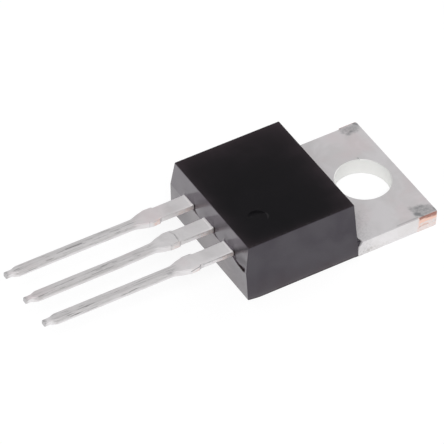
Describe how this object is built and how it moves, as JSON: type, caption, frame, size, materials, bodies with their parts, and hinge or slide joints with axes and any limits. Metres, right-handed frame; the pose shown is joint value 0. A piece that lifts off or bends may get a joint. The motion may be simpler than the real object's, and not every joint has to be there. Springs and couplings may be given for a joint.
{
  "type": "power transistor",
  "caption": "Flat-tab power transistor: black moulded body on a tinned metal tab with a mounting hole, and a row of straight flat leads.",
  "frame": {"origin": "centre of the mounting hole on the seating plane, the tab's back", "axes": "+X from the leads towards the tab's free end, +Z out of the tab's top along the hole's axis, +Y towards the base lead's side"},
  "size_m": [0.0291, 0.0104, 0.0047],
  "materials": {
    "epoxy": "matt moulded epoxy, glossy on the drafted sides",
    "tinned_tab": "satin tin plating on copper, bare copper where the tie bars were sheared",
    "tinned_lead": "satin tin plating on copper",
    "silicon": "polished silicon",
    "solder": "dull solder",
    "bond_wire": "bright drawn wire"
  },
  "bodies": {
    "root": {"moulded_case": "epoxy", "tab_and_collector_lead": "tinned_tab", "base_lead": "tinned_lead", "emitter_lead": "tinned_lead", "transistor_die": "silicon", "die_attach_solder": "solder", "base_bond_wire": "bond_wire", "emitter_bond_wire_inner": "bond_wire", "emitter_bond_wire_outer": "bond_wire"}
  },
  "joints": []
}
